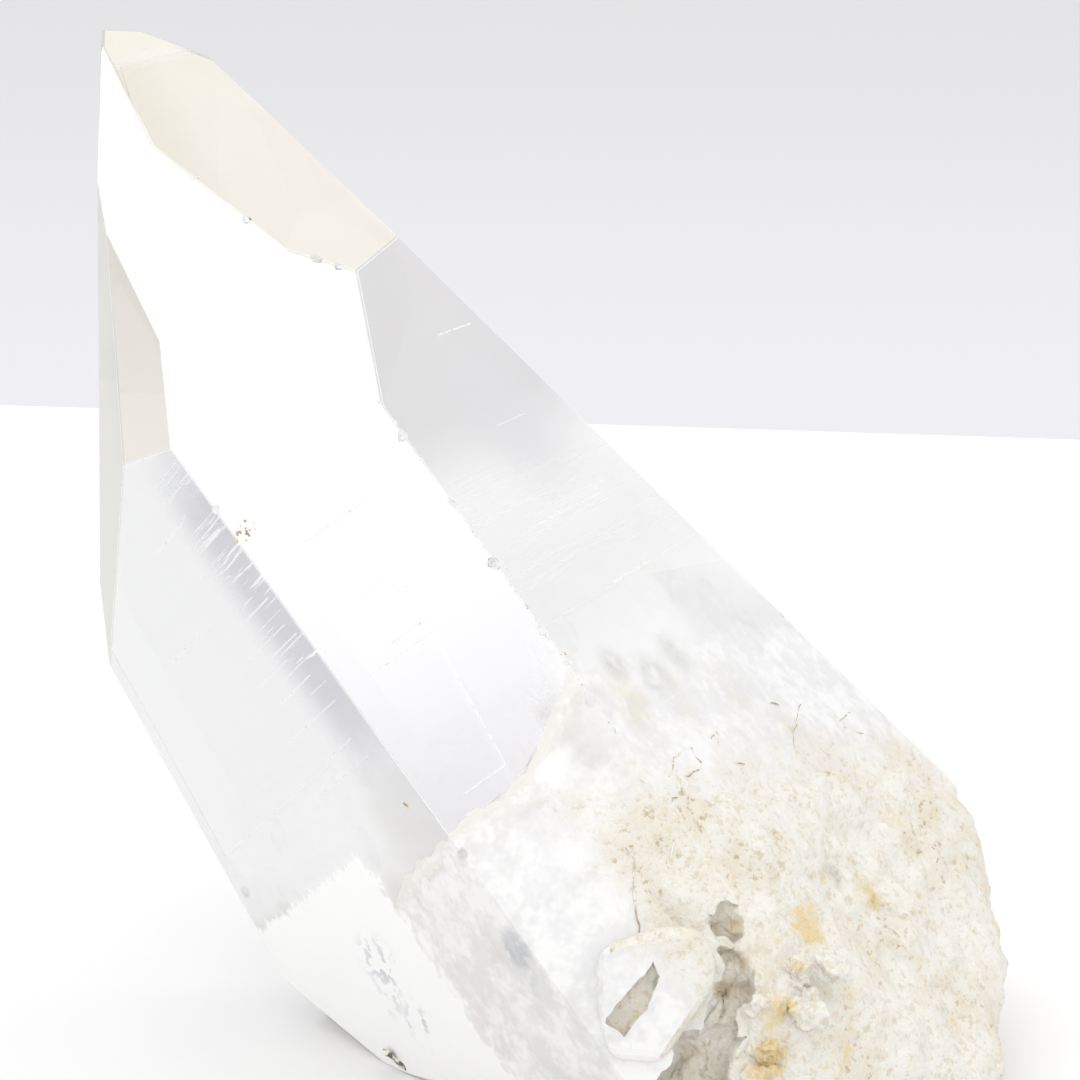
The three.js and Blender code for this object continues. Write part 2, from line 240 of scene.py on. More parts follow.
# Stained cracks and fine dark marks on the surface, as front, left and tip of their corners.
CRACKS = [
    (0.09, [(26.9, -4.6, -29.3), (27.0, -4.5, -29.8), (27.4, -3.1, -31.4), (27.9, -1.9, -33.6),
            (28.3, -1.3, -34.9)]),
    (0.06, [(26.9, -4.6, -29.3), (26.8, -5.0, -28.8), (26.7, -4.5, -28.5), (26.9, -4.3, -29.2)]),
    (0.09, [(25.5, -8.8, -24.6), (25.5, -9.0, -25.3), (24.2, -10.1, -25.8), (22.4, -11.2, -25.9),
            (21.2, -11.8, -25.3), (20.4, -12.3, -24.9), (18.7, -13.2, -24.8), (17.2, -14.2, -25.1),
            (17.6, -13.9, -25.7), (17.5, -14.1, -26.6), (18.6, -13.4, -27.0), (20.5, -12.4, -26.9),
            (21.1, -12.0, -26.5)]),
    (0.09, [(22.1, -11.4, -27.1), (23.2, -10.8, -28.1)]),
    (0.06, [(23.4, -10.7, -27.7), (24.5, -10.1, -27.6), (25.5, -9.5, -27.8)]),
    (0.08, [(14.2, -15.9, -25.6), (12.5, -16.9, -25.3), (12.3, -17.0, -25.7), (13.5, -16.4, -26.2)]),
    (0.10, [(13.3, -16.6, -28.4), (12.1, -17.3, -29.1)]),
    (0.06, [(-2.1, -25.5, -28.0), (-0.3, -24.5, -28.7), (2.0, -23.2, -29.6), (3.7, -22.3, -30.6),
            (2.4, -23.0, -31.1)]),
    (0.09, [(2.0, -23.0, -26.3), (1.0, -23.6, -26.8)]),
    (0.08, [(-4.1, -26.8, -31.5), (-6.1, -28.0, -31.5), (-8.4, -29.3, -31.5)]),
    (0.06, [(-5.7, -27.8, -32.2), (-9.4, -30.1, -35.2)]),
    (0.09, [(26.2, -8.2, -30.4), (27.0, -6.9, -31.5)]),
]

# Specks of dirt caught on the edge between the front and the lower left: place and how far they scatter.
DIRT = [((22.6, 6.5, 12.5), 1.4, 16), ((23.5, 8.7, -14.7), 0.7, 8), ((23.3, -9.8, -12.3), 0.5, 4)]

# The dark flake at the foot of the lower left face: to the left and towards the tip.
FLAKE = (24.3, -33.4)

# Cloudy sheets inside, each between two lines of points given as front, left and tip.
VEILS = {
    "curved_veil": (
        [(14.6, 14.4, -20.6), (21.8, 9.2, -19.4), (26.2, 3.6, -19.0), (26.0, -1.0, -18.5),
         (24.8, -5.4, -15.8), (23.4, -8.7, -13.8)],
        [(8.0, 11.0, -27.0), (13.0, 8.0, -26.0), (15.0, 2.0, -25.0), (15.0, -3.0, -24.0),
         (14.0, -8.0, -22.0), (13.0, -12.0, -20.0)],
    ),
    "root_veil": (
        [(21.0, 8.0, -28.0), (23.0, 2.0, -27.0), (23.0, -4.0, -25.0), (20.0, -11.0, -22.0)],
        [(-16.0, 8.0, -33.0), (-18.0, 0.0, -33.0), (-18.0, -10.0, -31.0), (-14.0, -24.0, -32.0)],
    ),
    "cream_veil": (
        [(21.0, -11.0, -14.5), (17.0, -13.4, -15.0), (12.0, -16.0, -16.0), (6.0, -19.5, -17.0)],
        [(17.0, -6.0, -24.0), (13.0, -7.0, -25.0), (9.0, -9.0, -26.0), (4.0, -12.0, -27.0)],
    ),
    "low_veil": (
        [(12.0, 16.0, -20.0), (3.0, 20.0, -19.0), (-6.0, 24.0, -19.5)],
        [(12.0, 9.0, -34.0), (3.0, 12.0, -33.0), (-6.0, 16.0, -31.0)],
    ),
}
VEIL_COLOURS = {
    "curved_veil": ((0.93, 0.90, 0.80), 0.9),
    "root_veil": ((0.94, 0.93, 0.90), 0.8),
    "cream_veil": ((0.92, 0.89, 0.80), 0.6),
    "low_veil": ((0.97, 0.96, 0.96), 0.7),
}


def colour_property(name, description, default):
    """A colour that a user can change."""
    return bpy.props.FloatVectorProperty(
        name=name, description=description, default=default, size=3, min=0.0, max=1.0, subtype="COLOR",
    )


def length_property(name, description, default, largest):
    """A length that a user can change, in metres."""
    return bpy.props.FloatProperty(
        name=name, description=description, default=default, min=0.0, max=largest, precision=5,
        subtype="DISTANCE", unit="LENGTH",
    )


class QuartzCrystal(bpy.types.PropertyGroup):
    """The clear crystal's sizes and colours."""

    tip_rounding: length_property("Tip rounding", "How far the tip's top edges are rounded", 0.0012, 0.003)
    edge_wear: length_property("Edge wear", "Width of the worn strip along the edges", 0.00009, 0.001)
    small_chips: bpy.props.IntProperty(
        name="Small chips", description="How many small chips break the front right edge",
        default=34, min=0, max=80,
    )
    tint: colour_property("Tint", "Colour of the clear quartz", (0.985, 0.985, 0.99))
    depth_colour: colour_property("Depth colour", "Colour that thick quartz takes on", (0.80, 0.79, 0.82))
    # the colour of the painted shade on the lower left face and on the upper right face
    painted_shade_colour: colour_property("Smoke", "Colour of the faint smoky bands", (0.50, 0.50, 0.53))
    frost: colour_property("Frost", "Colour of frosted and worn quartz", (0.99, 0.99, 0.99))
    dusty: colour_property("Dusty strip", "Colour of the narrow dusty face on the left", (0.66, 0.66, 0.61))
    cream: colour_property("Cream", "Colour of the warm clouds", (0.86, 0.82, 0.70))
    apex: colour_property("Apex", "Colour of the worn, rounded tip", (0.83, 0.80, 0.70))
    density: bpy.props.FloatProperty(
        name="Density", description="How strongly thick quartz takes on the depth colour, per metre",
        default=2.0, min=0.0, max=100.0,
    )
    gloss: bpy.props.FloatProperty(
        name="Roughness", description="Roughness of the clear faces",
        default=0.0, min=0.0, max=1.0, subtype="FACTOR",
    )


# Painted shade and reflections on the clear faces: a colour for each face. Each changes from the first colour
# to the last between two heights towards the tip.
PAINTED_FACE_SHADES = {
    "tip_right": ((0.77, 0.72, 0.55), (0.79, 0.73, 0.60), 62, 42),
    "tip_left": ((0.93, 0.84, 0.67), (0.93, 0.83, 0.64), 40, 20),
    "tip_left_edge": ((0.85, 0.85, 0.79), (0.48, 0.48, 0.45), 38, 33),
    "lower_left": ((0.98, 0.99, 0.92), (0.98, 0.98, 0.93), 20, -10),
    "front": ((0.98, 0.98, 0.99), (0.75, 0.74, 0.78), 6, -18),
    "front_band": ((0.98, 0.98, 0.99), (0.80, 0.79, 0.82), 6, -18),
    "upper_right": ((0.50, 0.49, 0.49), (0.80, 0.80, 0.79), 12, 3),
}

# Painted shade along the edge between the tip's front and its right face.
PAINTED_TIP_EDGE_SHADE = (0.62, 0.55, 0.38)

# Flecks in the frosted patch, and painted reflections of inner cracks in grey: front, left, tip, radius and
# strength.
FLECKS = [(5.0, 20.0, -24.9, 4.5, 0.8), (5.5, 20.1, -31.4, 3.5, 0.8), (3.0, 21.0, -28.0, 3.0, 0.5)]
PAINTED_CRACK_GLINTS = [(26.3, 7.9, -30.2, 2.6, 0.9), (12.7, 16.3, -37.3, 3.2, 1.0), (26.2, 8.3, -34.1, 2.0, 0.5)]

# Greyish clouds on both sides of the front right edge, and a cream one lower down, the same way.
GREY_CLOUDS = [
    (25.1, -6.8, -17.1, 3.6, 0.75), (25.0, -6.2, -14.6, 2.4, 0.6), (25.3, -6.8, -20.2, 2.6, 0.6),
    (18.5, -12.8, -15.4, 2.8, 1.0), (23.2, -10.2, -16.8, 2.2, 0.6), (14.4, -15.3, -18.1, 3.6, 0.75),
    (9.1, -18.4, -17.8, 3.4, 0.6),
]
CREAM_CLOUDS = [(20.0, -11.5, -19.0, 4.5, 0.9), (14.0, -15.5, -21.0, 4.5, 0.7), (6.0, -20.5, -23.0, 5.0, 0.6)]

# The pinkish cloud on the front of the lower crystal: front, left, tip and radius.
PINK = (18.0, 14.0, -29.0, 9.0)

# The colour of the light that milky quartz lets through.
LIGHT_WITHIN = (0.95, 0.94, 0.91)


class QuartzRoot(bpy.types.PropertyGroup):
    """The root's sizes and colours."""

    broad_lumps: length_property("Broad lumps", "Height of the broad lumps", 0.0015, 0.004)
    grain: length_property("Grain", "Height of the fine grain", 0.0004, 0.002)
    milk: colour_property("Milky quartz", "Colour of the milky quartz", (0.86, 0.84, 0.78))
    buff: colour_property("Buff quartz", "Colour of the warmer patches", (0.81, 0.76, 0.66))
    # the colour of the painted shade between the grains and in the hollows
    shade: colour_property("Grain shade", "Colour between the grains", (0.72, 0.63, 0.47))
    ground: colour_property("Cloudy ground", "Colour below the curved fracture", (0.96, 0.96, 0.97))
    ridge: colour_property("Curved ridge", "Colour of the curved fracture's edge", (0.86, 0.84, 0.78))
    pink: colour_property("Pinkish cloud", "Colour of the pinkish cloud", (0.99, 0.94, 0.92))
    dull: colour_property("Greyish cloud", "Colour of the greyish clouds", (0.52, 0.52, 0.47))
    # the grey of the painted reflections of inner cracks, also the colour of the flecks in the frosted patch
    mirror: colour_property("Mirrors", "Colour of the shining inner cracks", (0.55, 0.58, 0.62))
    crack: colour_property("Cracks", "Colour of the stained cracks", (0.42, 0.33, 0.20))
    flake: colour_property("Mineral flake", "Colour of the dark flake", (0.13, 0.14, 0.09))
    dirt: colour_property("Dirt", "Colour in the pits and cracks", (0.50, 0.37, 0.20))
    stain: colour_property("Iron stain", "Colour of the iron stains", (0.78, 0.62, 0.33))


class QuartzStage(bpy.types.PropertyGroup):
    """The studio's colours and light."""

    floor: colour_property("Floor", "Colour of the floor", (0.87, 0.865, 0.86))
    wall: colour_property("Wall", "Colour of the wall", (0.68, 0.68, 0.69))
    # painted light: the lighter wall colour beside the table and above the picture
    wall_foot: colour_property("Foot of the wall", "Colour of the wall beside the table", (0.78, 0.78, 0.81))
    daylight: bpy.props.FloatProperty(
        name="Daylight", description="Strength of the even light from all round",
        default=1.1, min=0.0, max=10.0,
    )
    daylight_lift: bpy.props.FloatProperty(
        name="Daylight from above", description="How much brighter the light is from above",
        default=0.2, min=0.0, max=10.0,
    )
    overhead: bpy.props.FloatProperty(
        name="Overhead light", description="Power of the soft overhead light in watts", default=2.0, min=0.0,
        max=100.0,
    )


def make_active(obj):
    """Selects one object alone."""
    bpy.ops.object.select_all(action="DESELECT")
    obj.select_set(True)
    bpy.context.view_layer.objects.active = obj


def place_shape(matrix):
    """Moves the newly added primitive and applies its place to its mesh."""
    shape = bpy.context.object
    shape.matrix_world = matrix
    bpy.ops.object.transform_apply(location=True, rotation=True, scale=True)
    return shape


def frame_at(place, x_axis, y_axis, z_axis):
    """The matrix of a place and three directions."""
    matrix = Matrix((x_axis, y_axis, z_axis)).transposed().to_4x4()
    matrix.translation = place
    return matrix


@contextmanager
def editing(shape):
    """Edit mode on one shape, with all of it selected."""
    make_active(shape)
    bpy.ops.object.mode_set(mode="EDIT")
    bpy.ops.mesh.select_all(action="SELECT")
    yield
    bpy.ops.object.mode_set(mode="OBJECT")


def cut_flat(shape, cuts):
    """Cuts everything outside each plane off a closed shape and closes it again."""
    with editing(shape):
        for normal, point in cuts:
            bpy.ops.mesh.select_all(action="SELECT")
            bpy.ops.mesh.bisect(plane_co=point, plane_no=normal, use_fill=True, clear_outer=True)
    return shape


def cut_at_ground(shape):
    """Cuts off what is below the ground, also what the cut leaves because it is nearly level with it."""
    cut_flat(shape, [(DOWN, Vector((0, 0, 0)))])
    for vertex in shape.data.vertices:
        vertex.co.z = max(vertex.co.z, 0.0)
    return shape


def combine(shape, tool, operation):
    """Joins a second closed shape to the first, or takes it away, and removes the second."""
    make_active(shape)
    modifier = shape.modifiers.new("Combine", "BOOLEAN")
    modifier.operation = operation
    modifier.solver = "MANIFOLD"
    modifier.object = tool
    bpy.ops.object.modifier_apply(modifier=modifier.name)
    bpy.data.objects.remove(tool)
    if not shape.data.polygons:
        raise RuntimeError(f"nothing is left of {shape.name} after {operation.lower()}")
    return shape


def mark(shape, name):
    """Marks all faces of a shape, so that the finish finds them after the shapes are combined."""
    share = shape.data.attributes.new(name, "FLOAT", "FACE")
    share.data.foreach_set("value", [1.0] * len(shape.data.polygons))
    return shape


def lies_on(planes, place, normal, match, gap):
    """True if a place lies on one of the planes, up to a gap in millimetres, and aims the same way."""
    for outward, point in planes:
        if outward.dot(normal) > match and abs(outward.dot(place - point)) < gap * MM:
            return True
    return False


def main_crystal(look):
    """The six-sided crystal, cut face by face from a block, with a rounded tip and worn edges."""
    bpy.ops.mesh.primitive_cube_add(size=BLOCK_SIZE)
    crystal = bpy.context.object
    cuts = [face_plane(name) for name in FACES]
    cuts += [(normal, point - normal * ROOT_COVER) for normal, point in ROOT_END]
    cut_flat(crystal, cuts + BASE_BREAKS)
    with editing(crystal):
        bpy.ops.mesh.select_all(action="DESELECT")
    rounded = crystal_point(0, 0, ROUNDED_ABOVE).dot(TIPWARD)
    for edge in crystal.data.edges:
        edge.select = all(crystal.data.vertices[i].co.dot(TIPWARD) > rounded for i in edge.vertices)
    bpy.ops.object.mode_set(mode="EDIT")
    bpy.ops.mesh.bevel(offset=look.tip_rounding, segments=4, affect="EDGES", clamp_overlap=True)
    bpy.ops.mesh.select_all(action="SELECT")
    bpy.ops.mesh.bevel(offset=look.edge_wear, segments=2, profile=0.6, affect="EDGES", clamp_overlap=True)
    bpy.ops.object.mode_set(mode="OBJECT")
    planes = [face_plane(name) for name in FACES if name != "tip_back_top"]
    worn = mark(crystal, "worn").data.attributes["worn"].data
    for i, polygon in enumerate(crystal.data.polygons):
        worn[i].value = 0.0 if lies_on(planes, polygon.center, polygon.normal, 0.9999, 0.01) else 1.0
    return crystal


def growth_line(name, tip, start, end, depth):
    """A three-sided bar that cuts one growth line into a face."""
    normal, point = face_plane(name)
    along = TIPWARD.cross(normal).normalized()
    inward = -normal
    radius = GROOVE_SIZE * depth * MM
    upright = (along, point + along * (start + end) / 2 * MM)
    middle = meeting_point([(normal, point), level_at(tip), upright]) + normal * (radius - depth * MM)
    upslope = along.cross(inward)
    bpy.ops.mesh.primitive_cylinder_add(vertices=3, radius=radius, depth=(end - start) * MM)
    bpy.context.object.data.transform(Matrix.Diagonal((GROOVE_SPREAD, 1, 1, 1)))
    return mark(place_shape(frame_at(middle, upslope, inward, -along)), "worn")


def chip(name_a, name_b, tip, radius):
    """An angular lump that breaks one chip out of an edge."""
    place = edge_place(name_a, name_b, tip)
    bpy.ops.mesh.primitive_ico_sphere_add(subdivisions=1, radius=radius * MM)
    bpy.context.object.data.transform(Matrix.Diagonal((1, CHIP_STRETCH, 1, 1)))
    turn = Matrix.Rotation(place.z / MM, 4, "Z") @ Matrix.Rotation(place.x / MM, 4, "X")
    return mark(place_shape(Matrix.Translation(place) @ turn), "worn")


def lumpiness(place, size, height, seed):
    """Smooth noise in space: how far a surface stands out at a place."""
    return height * noise.noise(place / size + Vector((seed, seed * 1.7, seed * 2.3)))


def root_planes():
    """The flats that the root's shape follows."""
    planes = [face_plane(name, ROOT_PROUD) for name in ROOT_FACES]
    planes += ROOT_END
    planes.append((ROOT_TOP, crystal_point(0, -20, -33)))
    planes.append((LEFTWARD, crystal_point(0, -3, 0)))
    planes.append((DOWN, Vector((0, 0, -8)) * MM))
    return [(normal, normal.dot(point - ROOT_CENTRE)) for normal, point in planes]


def root_reach(planes, direction):
    """How far the root's rounded shape reaches from its centre in a direction."""
    total = 0.0
    for normal, distance in planes:
        nearness = normal.dot(direction) / distance
        if nearness > 0:
            total += nearness ** ROOT_ROUNDING
    return total ** (-1 / ROOT_ROUNDING)


def root_shape(root):
    """The lumpy root, which follows the solid model's own lumps where it has them, with finer grain."""
    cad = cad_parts["quartz_point"].data
    solid = BVHTree.FromPolygons([v.co for v in cad.vertices], [p.vertices for p in cad.polygons])
    planes = root_planes()
    crystal_faces = [face_plane(name) for name in FACES]
    slack = 2.3 * MM      # how far the solid's own lumps may stand off the root's plain shape
    bpy.ops.mesh.primitive_ico_sphere_add(subdivisions=7, radius=0.03, location=ROOT_CENTRE)
    shape = place_shape(bpy.context.object.matrix_world.copy())
    for vertex in shape.data.vertices:
        direction = (vertex.co - ROOT_CENTRE).normalized()
        reach = root_reach(planes, direction)
        own = lumpiness(ROOT_CENTRE + direction * reach, 9 * MM, root.broad_lumps, 3.1)
        place, normal, _, distance = solid.ray_cast(ROOT_CENTRE, direction, reach + slack)
        if place is None or distance < reach - slack:
            distance = reach + min(own, 0.0)
        elif lies_on(crystal_faces, place, normal, 0.9995, 0.03):
            distance -= 0.5 * MM
        vertex.co = ROOT_CENTRE + direction * distance
    with editing(shape):
        bpy.ops.mesh.vertices_smooth(factor=0.5, repeat=8)
    for vertex in shape.data.vertices:
        place = vertex.co.copy()
        stand = lumpiness(place, 2.6 * MM, root.grain * 1.6, 1.3)
        stand += lumpiness(place, 1.1 * MM, root.grain, 7.7)
        vertex.co = place + (place - ROOT_CENTRE).normalized() * stand
    return mark(shape, "crust")


def knob(left, tip, radius):
    """A rounded, uneven knob on the front of the root."""
    middle = face_place("front_band", left, tip)
    bpy.ops.mesh.primitive_ico_sphere_add(subdivisions=5, radius=radius * MM, location=middle)
    shape = place_shape(bpy.context.object.matrix_world.copy())
    for vertex in shape.data.vertices:
        outward = (vertex.co - middle).normalized()
        stand = lumpiness(vertex.co, 2.2 * MM, 1.2 * MM, 5.2) + lumpiness(vertex.co, 0.6 * MM, 0.5 * MM, 2.2)
        vertex.co = vertex.co + outward * (stand - 0.5 * MM)
    return mark(shape, "crust")


def block(outline, top, depth, unevenness=0.0):
    """A block by its outline seen from the front of the crystal, from `top` backwards by `depth`, all in
    millimetres. Its faces can be uneven."""
    bpy.ops.mesh.primitive_circle_add(vertices=len(outline), radius=0.005, fill_type="NGON")
    shape = bpy.context.object
    for vertex, (left, tip) in zip(shape.data.vertices, outline):
        vertex.co = crystal_point(top, left, tip)
    with editing(shape):
        bpy.ops.mesh.extrude_region_move(TRANSFORM_OT_translate={"value": FRONTWARD * -depth * MM})
        bpy.ops.mesh.select_all(action="SELECT")
        bpy.ops.mesh.normals_make_consistent(inside=False)
        if unevenness:
            bpy.ops.mesh.quads_convert_to_tris()
            bpy.ops.mesh.subdivide(number_cuts=9)
            bpy.ops.mesh.subdivide(number_cuts=1)
    for vertex in shape.data.vertices:
        broad = noise.noise_vector(vertex.co / MM / 2.2)
        fine = noise.noise_vector(vertex.co / MM / 0.7)
        vertex.co += (broad * 1.2 + fine * 0.4) * unevenness * MM
    return shape


def hollow():
    """The small hollow above the crevice."""
    bpy.ops.mesh.primitive_ico_sphere_add(subdivisions=4, radius=1.5 * MM)
    middle = Matrix.Translation(face_place("front_band", *HOLLOW))
    shape = place_shape(middle @ Matrix.Diagonal((1, 0.8, 1.5, 1)))
    for vertex in shape.data.vertices:
        vertex.co += noise.noise_vector(vertex.co / MM * 0.9) * 0.9 * MM
    return mark(shape, "crust")


def side_crystal():
    """The small side crystal, with rounded edges that are crusty on the right."""
    shape = block(SIDE_CRYSTAL, SIDE_CRYSTAL_TOP, SIDE_CRYSTAL_DEPTH)
    with editing(shape):
        bpy.ops.mesh.bevel(offset=1.1 * MM, segments=3, affect="EDGES", clamp_overlap=True)
    crusty = mark(shape, "crust").data.attributes["crust"].data
    for i, polygon in enumerate(shape.data.polygons):
        aims_right = polygon.normal.dot(LEFTWARD) < -0.1 and polygon.normal.dot(FRONTWARD) < 0.98
        crusty[i].value = 1.0 if aims_right else 0.0
    return shape


def above_root(left, tip):
    """How far a place is above the root's sloping top, from its distances to the left and towards the tip."""
    return TOP_SLOPE[0] * tip - TOP_SLOPE[1] * left + TOP_DEPTH


def part_faces(shape):
    """Marks the faces below the start of the clouds, lets the root's grain look smooth, and leaves no worn
    edges on the root."""
    mark(shape, "low")
    crusty = shape.data.attributes["crust"].data
    low = shape.data.attributes["low"].data
    worn = shape.data.attributes["worn"].data
    for i, polygon in enumerate(shape.data.polygons):
        polygon.use_smooth = crusty[i].value > 0.5 and polygon.area < 1.2 * MM * MM
        low[i].value = 1.0 if (polygon.center - CLOUD_START).dot(CLOUD_TOP) < 0 else 0.0
        offset = (polygon.center - CENTRE) / MM
        if above_root(offset.dot(LEFTWARD), offset.dot(TIPWARD)) < -2.0:
            worn[i].value = 0.0


class QUARTZ_OT_point(bpy.types.Operator):
    """Builds the quartz point: the clear crystal, its side crystal and its root, as one closed shape."""

    bl_idname = "quartz.point"
    bl_label = "Quartz point"

    def execute(self, context):
        look = context.scene.quartz_crystal
        root = context.scene.quartz_root
        point = main_crystal(look)
        for name, lines in GROWTH_LINES.items():
            for i, (tip, start, end) in enumerate(lines):
                combine(point, growth_line(name, tip, start, end, GROOVE_DEPTHS[i % 3]), "DIFFERENCE")
        for name_a, name_b, tip, radius in CHIPS:
            combine(point, chip(name_a, name_b, tip, radius), "DIFFERENCE")
        chance = random.Random(4)
        for _ in range(look.small_chips):
            tip = chance.uniform(-22, 20)
            combine(point, chip("front_band", "upper_right", tip, chance.uniform(0.08, 0.28)), "DIFFERENCE")
        combine(point, root_shape(root), "UNION")
        for left, tip, radius in KNOBS:
            combine(point, knob(left, tip, radius), "UNION")
        combine(point, mark(block(CREVICE, CREVICE_TOP, CREVICE_DEPTH, 1.0), "crust"), "DIFFERENCE")
        combine(point, hollow(), "DIFFERENCE")
        combine(point, side_crystal(), "UNION")
        slot = block(SLOT, SIDE_CRYSTAL_TOP + SLOT_DEPTH, 2 * SLOT_DEPTH, 0.4)
        combine(point, mark(slot, "crust"), "DIFFERENCE")
        cut_at_ground(point)
        with editing(point):
            bpy.ops.mesh.bisect(plane_co=CLOUD_START, plane_no=CLOUD_TOP)
        point.name = "crystal_and_root"
        point.data.materials.clear()
        point.data.materials.append(quartz_finish(look, root))
        part_faces(point)
        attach(point, "root")
        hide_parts("quartz_point")
        return {"FINISHED"}


class Term:
    """A socket of a material that takes part in Python sums, which add Math nodes."""

    def __init__(self, finish, socket):
        self.finish = finish
        self.socket = socket

    def __add__(self, other):
        return self.finish.maths("ADD", self, other)

    __radd__ = __add__

    def __sub__(self, other):
        return self.finish.maths("SUBTRACT", self, other)

    def __rsub__(self, other):
        return self.finish.maths("SUBTRACT", other, self)

    def __mul__(self, other):
        return self.finish.maths("MULTIPLY", self, other)

    __rmul__ = __mul__

    def __abs__(self):
        return self.finish.maths("ABSOLUTE", self)

    def root(self):
        """The square root."""
        return self.finish.maths("SQRT", self)

    def at_least(self, other):
        """The larger of the two."""
        return self.finish.maths("MAXIMUM", self, other)

    def at_most(self, other):
        """The smaller of the two."""
        return self.finish.maths("MINIMUM", self, other)


class Finish:
    """A material in the making."""

    def __init__(self, name):
        self.material = bpy.data.materials.new(name)
        self.material.use_nodes = True
        self.tree = self.material.node_tree
        self.tree.nodes.clear()

    def node(self, kind, settings=None, inputs=None, output=0):
        """Adds a node: its settings first, then the values or links of its sockets."""
        made = self.tree.nodes.new(kind)
        for key, value in (settings or {}).items():
            setattr(made, key, value)
        for key, value in (inputs or {}).items():
            if isinstance(value, Term):
                self.tree.links.new(value.socket, made.inputs[key])
            else:
                made.inputs[key].default_value = value
        return Term(self, made.outputs[output])

    def maths(self, operation, *values):
        """A Math node."""
        return self.node("ShaderNodeMath", {"operation": operation}, dict(enumerate(values)))

    def rise(self, value, low, high):
        """0 below low and 1 above high, changing smoothly between. With low above high it falls instead."""
        if low < high:
            ends = {"Value": value, "From Min": low, "From Max": high}
        else:
            ends = {"Value": value, "From Min": high, "From Max": low, "To Min": 1.0, "To Max": 0.0}
        return self.node("ShaderNodeMapRange", {"interpolation_type": "SMOOTHSTEP"}, ends)

    def blend(self, share, first, second):
        """A mix of two colours."""
        return self.node("ShaderNodeMix", {"data_type": "RGBA"}, {"Factor": share, 6: first, 7: second}, 2)

    def mix(self, share, first, second):
        """A mix of two shaders."""
        return self.node("ShaderNodeMixShader", {}, {0: share, 1: first, 2: second})

    def along(self, place, direction, offset=0.0):
        """How far a place lies along a direction, in millimetres, less an offset."""
        inputs = {0: place, 1: tuple(direction / MM)}
        return self.node("ShaderNodeVectorMath", {"operation": "DOT_PRODUCT"}, inputs, "Value") - offset

    def grain(self, place, scale, detail, roughness):
        """Noise between 0 and 1."""
        inputs = {"Vector": place, "Scale": scale, "Detail": detail, "Roughness": roughness}
        return self.node("ShaderNodeTexNoise", {}, inputs)

    def matt(self, colour, roughness=0.9):
        """Ends the material as a matt surface."""
        settings = {"Base Color": colour, "Roughness": roughness}
        return self.done(self.node("ShaderNodeBsdfPrincipled", {}, settings))

    def done(self, surface, inside=None):
        """Ends the material with its surface, and with what fills it."""
        output = self.tree.nodes.new("ShaderNodeOutputMaterial")
        self.tree.links.new(surface.socket, output.inputs["Surface"])
        if inside is not None:
            self.tree.links.new(inside.socket, output.inputs["Volume"])
        return self.material


def opaque(colour):
    """A colour with full alpha, as the nodes take it."""
    return (*colour, 1.0)


def crystal_places(finish):
    """Object coordinates, and a place's distances to the front, to the left and towards the tip."""
    place = finish.node("ShaderNodeTexCoord", output="Object")
    front, left, tip = [
        finish.along(place, direction, CENTRE.dot(direction) / MM)
        for direction in (FRONTWARD, LEFTWARD, TIPWARD)
    ]
    return place, front, left, tip


def spot(finish, place, centre, radius, softness=0.5):
    """A round soft spot: 1 at its centre, 0 outside its radius in millimetres."""
    inputs = {0: place, 1: tuple(crystal_point(*centre))}
    distance = finish.node("ShaderNodeVectorMath", {"operation": "DISTANCE"}, inputs, "Value")
    return finish.rise(distance, radius * MM, radius * softness * MM)


def outside_face(finish, place, name):
    """How far a place lies outside a face's plane, in millimetres."""
    normal, point = face_plane(name)
    return finish.along(place, normal, point.dot(normal) / MM)


def face_share(finish, place, name):
    """1 on one of the crystal's faces and 0 elsewhere."""
    return finish.rise(abs(outside_face(finish, place, name)), 0.12, 0.06)


def striations(finish, front, left, tip):
    """Fine growth lines level across the crystal."""
    lined = finish.node("ShaderNodeCombineXYZ", {}, {"X": tip, "Y": front * 0.03, "Z": left * 0.03})
    return finish.grain(lined, 1.5, 3.0, 0.75)


def marked(finish, name):
    """The share that the mesh stores for each face under a name."""
    settings = {"attribute_type": "GEOMETRY", "attribute_name": name}
    return finish.node("ShaderNodeAttribute", settings, {}, "Fac")


def clear_shader(finish, look, tint_and_painted_shade):
    """Clear quartz, coloured with the painted shade and reflections that it is given."""
    settings = {"Base Color": tint_and_painted_shade, "Roughness": look.gloss, "IOR": 1.544, "Transmission Weight": 1.0}
    return finish.node("ShaderNodeBsdfPrincipled", {}, settings)


def milky_shader(finish, colour, glaze, bump=None, through=0.25):
    """Milky quartz, which lets part of the light through."""
    settings = {"Base Color": colour, "Roughness": 0.5, "IOR": 1.544}
    settings.update({"Coat Weight": glaze, "Coat Roughness": 0.04})
    glow = {"Color": opaque(LIGHT_WITHIN)}
    if bump is not None:
        settings["Normal"] = bump
        glow["Normal"] = bump
    outer = finish.node("ShaderNodeBsdfPrincipled", {}, settings)
    inner = finish.node("ShaderNodeBsdfTranslucent", {}, glow)
    return finish.mix(through, outer, inner)


def painted_face_shades(finish, place, tip, look, names):
    """The painted shade and reflections of each clear face, over the tint of clear quartz."""
    tint_and_painted_shade = opaque(look.tint)
    for name in names:
        first, last, start, end = PAINTED_FACE_SHADES[name]
        colour = finish.blend(finish.rise(tip, start, end), opaque(first), opaque(last))
        tint_and_painted_shade = finish.blend(face_share(finish, place, name), tint_and_painted_shade, colour)
    return tint_and_painted_shade


def painted_shade_band(finish, place, tip):
    """The share of the band of painted shade on the lower left face, beside the front."""
    beside = finish.rise(outside_face(finish, place, "front"), -8.0, -2.5)
    band = beside * face_share(finish, place, "lower_left")
    return band * finish.rise(tip, 26.0, 14.0) * finish.rise(tip, -26.0, -10.0)


